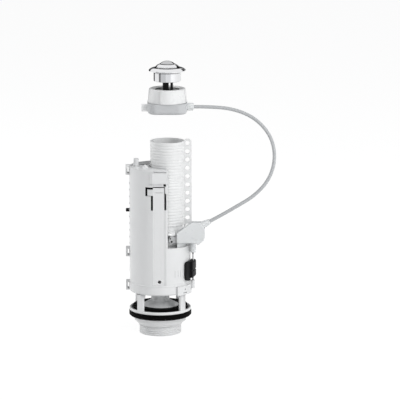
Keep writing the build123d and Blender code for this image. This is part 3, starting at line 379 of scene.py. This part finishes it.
white = plastic("white_plastic", (0.73, 0.735, 0.738), rough=0.36)
thread_white = plastic("thread_plastic", (0.75, 0.755, 0.758), rough=0.36, edge=0)
# Painted light: a lighter copy of the white plastic, so that the overflow tube and clamp nut look
# more brightly lit than the tower
bright = plastic("bright_plastic", (0.765, 0.77, 0.77), rough=0.3)
# Painted light: a still lighter copy of the white, without corner shade, that lifts the lift tube
# where the lever box shades it
lit_lift_white = plastic("lit_lift_plastic", (0.89, 0.895, 0.895), rough=0.3, corner_shade=1.0)
clouded = plastic("clouded_plastic", (0.70, 0.715, 0.72), rough=0.3, glow=(0.25, 0.003))
head_grey = plastic("head_plastic", (0.52, 0.53, 0.54), rough=0.38, tip=STUB_TONE_AND_LIGHT)
plate_grey = plastic("plate_plastic", (0.68, 0.69, 0.695), rough=0.38)
cable_grey = plastic("cable_plastic", (0.45, 0.46, 0.47), rough=0.4)
lever_grey = plastic("lever_plastic", (0.46, 0.465, 0.47), rough=0.4)
mid_grey = plastic("mid_grey_plastic", (0.23, 0.235, 0.24), rough=0.4)
black = plastic("black_plastic", (0.013, 0.013, 0.014), rough=0.45, cloud=0.15, gloss=0.08)
ink = plastic("mark_ink", (0.12, 0.125, 0.13), rough=0.5)
seal_black = rubber("black_rubber", (0.0012, 0.0012, 0.0012))
chrome = plated("chrome_plate", **CHROME)
# Painted shade: the ring button's chrome gets a stronger dark line where it meets the bezel
ring_chrome = plated("ring_chrome", **CHROME, line=(0.84, 0.985))
satin = plated("satin_chrome", (0.56, 0.565, 0.575), rough=0.14, grain=0.000004)
steel = plated("drawn_steel", (0.6, 0.6, 0.61), rough=0.26, grain=0.00002, stretch=(1, 1, 0.04))

# The CAD nodes that have each material
FINISHES = {
    white: (
        "valve_base tower_housing chamber_cap float_stem full_flush_float full_rocker half_rocker"
    ),
    clouded: "lever_box lever_box_cover box_ferrule head_ferrule",
    bright: "overflow_tube clamp_nut",
    lit_lift_white: "lift_tube",
    head_grey: "head_housing",
    plate_grey: "valve_plate",
    lever_grey: "lift_lever",
    mid_grey: "seal_retainer rod_guide",
    # The half-flush float is black so that the tower's slots in front of it look dark: painted
    # shade
    black: "half_flush_float level_pointer volume_slider full_push_rod half_push_rod",
    seal_black: "flange_washer flush_seal guide_gasket",
    chrome: "button_bezel",
    ring_chrome: "full_flush_button",
    satin: "half_flush_button",
    steel: "lever_axle lever_nipple slider_rail rocker_axle rocker_nipple full_spring half_spring",
}


def finish(piece, material):
    """Give a piece one material."""
    piece.data.materials.clear()
    piece.data.materials.append(material)


def finish_solids():
    """Give the CAD nodes their materials."""
    for material, names in FINISHES.items():
        for name in names.split():
            finish(nodes[name], material)


def add_object(name, data):
    """Add an object with some data to the scene."""
    thing = bpy.data.objects.new(name, data)
    bpy.context.scene.collection.objects.link(thing)
    return thing


def add_piece(name, data, body, slot, *materials):
    """Add a piece that rides on a body, with the materials that its data doesn't have yet."""
    piece = add_object(name, data)
    for material in materials:
        data.materials.append(material)
    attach(piece, body)
    return piece


def stitch(shape, rings):
    """Join each ring of vertices to the next by faces, and return the faces."""
    faces = []
    for lower, upper in zip(rings, rings[1:]):
        for side in range(len(lower)):
            after = (side + 1) % len(lower)
            corners = (lower[side], lower[after], upper[after], upper[side])
            faces.append(shape.faces.new(corners))
    return faces


def to_mesh(shape, name, smooth_angle=None):
    """Turn a bmesh into a mesh, smooth where its faces meet at less than an angle in degrees."""
    mesh = bpy.data.meshes.new(name)
    shape.to_mesh(mesh)
    shape.free()
    if smooth_angle:
        mesh.shade_smooth()
        mesh.set_sharp_from_angle(angle=math.radians(smooth_angle))
    return mesh


def thread_radius(angle, z, low, high, crest):
    """Radius of a right-handed rounded thread, which runs out into the plain tail at both ends."""
    turn = (z / THREAD_PITCH - angle / math.tau) % 1
    rise = abs(2 * turn - 1)
    rounded = rise * rise * (3 - 2 * rise)
    runout = max(0.0, min(1.0, (z - low) / THREAD_RUNOUT, (high - z) / THREAD_RUNOUT))
    return crest - THREAD_DEPTH * runout * (1 - rounded)


def threaded_base():
    """Add the outlet moulding with its plain tail wall cut away and a thread in its place."""
    mount = mounts["tail_thread"]
    crest = mount["dims"]["r_mm"]
    low = mount["pos_m"][2] / MM - mount["dims"]["length_mm"] / 2
    high = low + mount["dims"]["length_mm"]
    shape = bmesh.new()
    shape.from_mesh(nodes["valve_base"].data)
    bmesh.ops.remove_doubles(shape, verts=shape.verts, dist=WELD_DISTANCE * MM)

    def on_tail(vert):
        near = abs(math.hypot(vert.co.x, vert.co.y) / MM - crest) < TAIL_SKIN
        return near and low - TAIL_END_SLACK < vert.co.z / MM < high + TAIL_END_SLACK

    tail = [face for face in shape.faces if all(on_tail(vert) for vert in face.verts)]
    bmesh.ops.delete(shape, geom=tail, context="FACES_ONLY")
    rows = round((high - low) / THREAD_PITCH * THREAD_ROWS_PER_PITCH)
    rings = []
    for row in range(rows + 1):
        z = low + (high - low) * row / rows
        ring = []
        for side in range(THREAD_SIDES):
            angle = math.tau * side / THREAD_SIDES
            radius = thread_radius(angle, z, low, high, crest) * MM
            place = (radius * math.cos(angle), radius * math.sin(angle), z * MM)
            ring.append(shape.verts.new(place))
        rings.append(ring)
    materials = (white, thread_white)
    for face in stitch(shape, rings):
        face.material_index = materials.index(thread_white)
    mesh = to_mesh(shape, "valve_base_threaded", THREAD_SMOOTH_ANGLE)
    piece = add_piece("valve_base_threaded", mesh, "base", "white_plastic", *materials)
    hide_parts("valve_base")


def control_cable():
    """Add the smooth cable along the route's points."""
    curve = bpy.data.curves.new("control_cable", "CURVE")
    curve.dimensions = "3D"
    curve.bevel_depth = CABLE_DIAMETER / 2
    curve.bevel_resolution = CABLE_ROUND_STEPS
    curve.resolution_u = CABLE_RUN_STEPS
    curve.use_fill_caps = True
    spline = curve.splines.new("NURBS")
    spline.points.add(len(CABLE_ROUTE) - 1)
    for point, place in zip(spline.points, CABLE_ROUTE):
        point.co = (*(x * MM for x in place), 1)
    spline.order_u = 3
    spline.use_endpoint_u = True
    spline.use_smooth = True
    cable = add_piece("control_cable", curve, "tower", "light_grey_plastic", cable_grey)
    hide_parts("cable_sheath")


def lock_mark(name, outline):
    """Add a thin raised shape on the lock pad, from the points of its outline."""
    shape = bmesh.new()
    middle = [sum(point[i] for point in outline) / len(outline) for i in (0, 1)]

    def layer(radius, inset):
        ring = []
        for angle, z in outline:
            turn = math.radians(angle + (middle[0] - angle) * inset)
            up = z + (middle[1] - z) * inset
            place = Vector((radius * math.sin(turn), -radius * math.cos(turn), up))
            ring.append(shape.verts.new(place * MM))
        return ring

    foot = layer(PAD_RADIUS - MARK_ROOT, 0)
    top = layer(PAD_RADIUS + MARK_HEIGHT, MARK_TAPER)
    stitch(shape, (foot, top))
    shape.faces.new(top)
    shape.faces.new(list(reversed(foot)))
    bmesh.ops.recalc_face_normals(shape, faces=shape.faces)
    add_piece(name, to_mesh(shape, name), "tower", "mid_grey_plastic", ink)


def dot_outline():
    """Outline of the lock dot, as a lock mark's points."""
    angle, z = LOCK_DOT_PLACE
    swing = math.degrees(LOCK_DOT_RADIUS / PAD_RADIUS)
    turns = [math.tau * side / LOCK_DOT_SIDES for side in range(LOCK_DOT_SIDES)]
    return [(angle + swing * math.cos(t), z + LOCK_DOT_RADIUS * math.sin(t)) for t in turns]


def lock_marks():
    """Add a generic turn-to-lock arrow on the lock pad."""
    lock_mark("lock_dot", dot_outline())
    lock_mark("lock_line", LOCK_LINE)
    lock_mark("lock_arrow", LOCK_ARROW)


def turned_mesh(name, profile, place, axis):
    """Round mesh from (radius, height) points, in mm, about an axis through a place."""
    shape = bmesh.new()
    lean = Vector((0, 0, 1)).rotation_difference(Vector(axis))
    rings = []
    for radius, height in profile:
        ring = []
        for side in range(PLUG_SIDES):
            turn = math.tau * side / PLUG_SIDES
            point = Vector((radius * math.cos(turn), radius * math.sin(turn), height))
            ring.append(shape.verts.new((lean @ point + Vector(place)) * MM))
        rings.append(ring)
    stitch(shape, rings)
    shape.faces.new(list(reversed(rings[0])))
    shape.faces.new(rings[-1])
    return to_mesh(shape, name, PLUG_SMOOTH_ANGLE)


def lever_plugs():
    """Add black plugs in the holes of the lever's nose."""
    for number, (x, z, radius) in enumerate(LEVER_HOLES, start=1):
        name = f"lever_plug_{number}"
        profile = (
            (radius - PLUG_PLAY, PLUG_FOOT),
            (radius - PLUG_PLAY, PLUG_SHOULDER),
            (radius - PLUG_RIM_INSET, PLUG_RIM),
            (radius * PLUG_TOP_SHARE, PLUG_TOP),
        )
        plug = turned_mesh(name, profile, (x, LEVER_BACK, z), (0, -1, 0))
        add_piece(name, plug, "lever", "black_rubber", seal_black)


def pressed_springs():
    """Add copies of the return springs in the head, in place of their CAD nodes."""
    for button in ("full", "half"):
        node = f"{button}_spring"
        spring = add_piece(f"{node}_coil", nodes[node].data.copy(), "tower", "steel")
        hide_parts(node)
        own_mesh(spring)


def emission(tree, colour, strength):
    """Plain light-giving shader."""
    node = tree.nodes.new("ShaderNodeEmission")
    put(tree, colour, node.inputs["Color"])
    put(tree, strength, node.inputs["Strength"])
    return node.outputs["Emission"]


def seen_directly(tree):
    """1 for rays from the camera, a mirror or glass, 0 for the rays that light the object."""
    path = tree.nodes.new("ShaderNodeLightPath")
    seen = calculated(tree, "ADD", path.outputs["Is Camera Ray"], path.outputs["Is Glossy Ray"])
    return calculated(tree, "ADD", seen, path.outputs["Is Transmission Ray"], clamp=True)


def blend_shaders(tree, factor, first, second, output):
    """Send a mixture of two shaders to an output node."""
    blend = tree.nodes.new("ShaderNodeMixShader")
    tree.links.new(factor, blend.inputs["Fac"])
    tree.links.new(first, blend.inputs[1])
    tree.links.new(second, blend.inputs[2])
    tree.links.new(blend.outputs["Shader"], tree.nodes[output].inputs["Surface"])


def flat_panel(name, half_width):
    """Add a square panel that lies flat about the origin."""
    shape = bmesh.new()
    bmesh.ops.create_grid(shape, x_segments=1, y_segments=1, size=half_width)
    return add_object(name, to_mesh(shape, name))


def white_surroundings():
    """Make a world that lights softly and shows white."""
    world = bpy.data.worlds.new("studio")
    bpy.context.scene.world = world
    world.use_nodes = True
    tree = world.node_tree
    ambient = tree.nodes["Background"]
    put(tree, AMBIENT_COLOUR, ambient.inputs["Color"])
    put(tree, AMBIENT_STRENGTH, ambient.inputs["Strength"])
    plain = tree.nodes.new("ShaderNodeBackground")
    put(tree, WHITE, plain.inputs["Color"])
    put(tree, 1, plain.inputs["Strength"])
    lit, shown = ambient.outputs["Background"], plain.outputs["Background"]
    blend_shaders(tree, seen_directly(tree), lit, shown, "World Output")


def area_lamp(name, place, size, power):
    """Add a soft lamp turned to the object."""
    data = bpy.data.lights.new(name, "AREA")
    data.shape = "RECTANGLE"
    data.size, data.size_y = size
    data.energy = power
    lamp = add_object(name, data)
    lamp.location = place
    towards = Vector(LAMP_AIM) - Vector(place)
    lamp.rotation_euler = towards.to_track_quat("-Z", "Y").to_euler()
    lamp.visible_glossy = False


def grey_card(name, place, size, turn, level):
    """Add a grey panel that only metal and gloss can see, for the dark edges of the plating."""
    panel = flat_panel(name, half_width=0.5)
    panel.scale = (*size, 1)
    panel.rotation_euler = (math.radians(90), 0, math.radians(turn))
    panel.location = place
    material, tree, _ = shader(name)
    tint = tuple(level * share for share in CARD_TINT)
    tree.links.new(emission(tree, tint, 1), tree.nodes["Material Output"].inputs["Surface"])
    finish(panel, material)
    panel.visible_camera = False
    panel.visible_diffuse = False
    panel.visible_transmission = False
    panel.visible_shadow = False


def studio_floor():
    """Add a pale floor that shows white and keeps the object's shadow."""
    floor = flat_panel("floor", FLOOR_HALF_WIDTH)
    material, tree, surface = shader("floor_white")
    put(tree, FLOOR_COLOUR, surface.inputs["Base Color"])
    put(tree, FLOOR_ROUGHNESS, surface.inputs["Roughness"])
    put(tree, FLOOR_GLOSS, surface.inputs["Specular IOR Level"])
    share = calculated(tree, "MULTIPLY", seen_directly(tree), FLOOR_WHITE_SHARE)
    shown = emission(tree, WHITE, FLOOR_WHITE_STRENGTH)
    blend_shaders(tree, share, surface.outputs["BSDF"], shown, "Material Output")
    finish(floor, material)


def photo_camera():
    """Add the camera at the photograph's angle."""
    camera = add_object("camera", bpy.data.cameras.new("camera"))
    camera.location = CAMERA_PLACE
    camera.rotation_euler = (CAMERA_TILT, 0, 0)
    camera.data.lens = CAMERA_LENS
    camera.data.sensor_width = CAMERA_SENSOR
    camera.data.clip_end = CAMERA_REACH
    bpy.context.scene.camera = camera


def studio():
    """Set up the white surroundings, soft lamps, grey cards, the floor and the camera."""
    bpy.context.scene.view_settings.view_transform = "Standard"
    white_surroundings()
    for lamp in LAMPS:
        area_lamp(*lamp)
    for card in CARDS:
        grey_card(*card)
    studio_floor()
    photo_camera()


finish_solids()
threaded_base()
control_cable()
lock_marks()
lever_plugs()
pressed_springs()
studio()
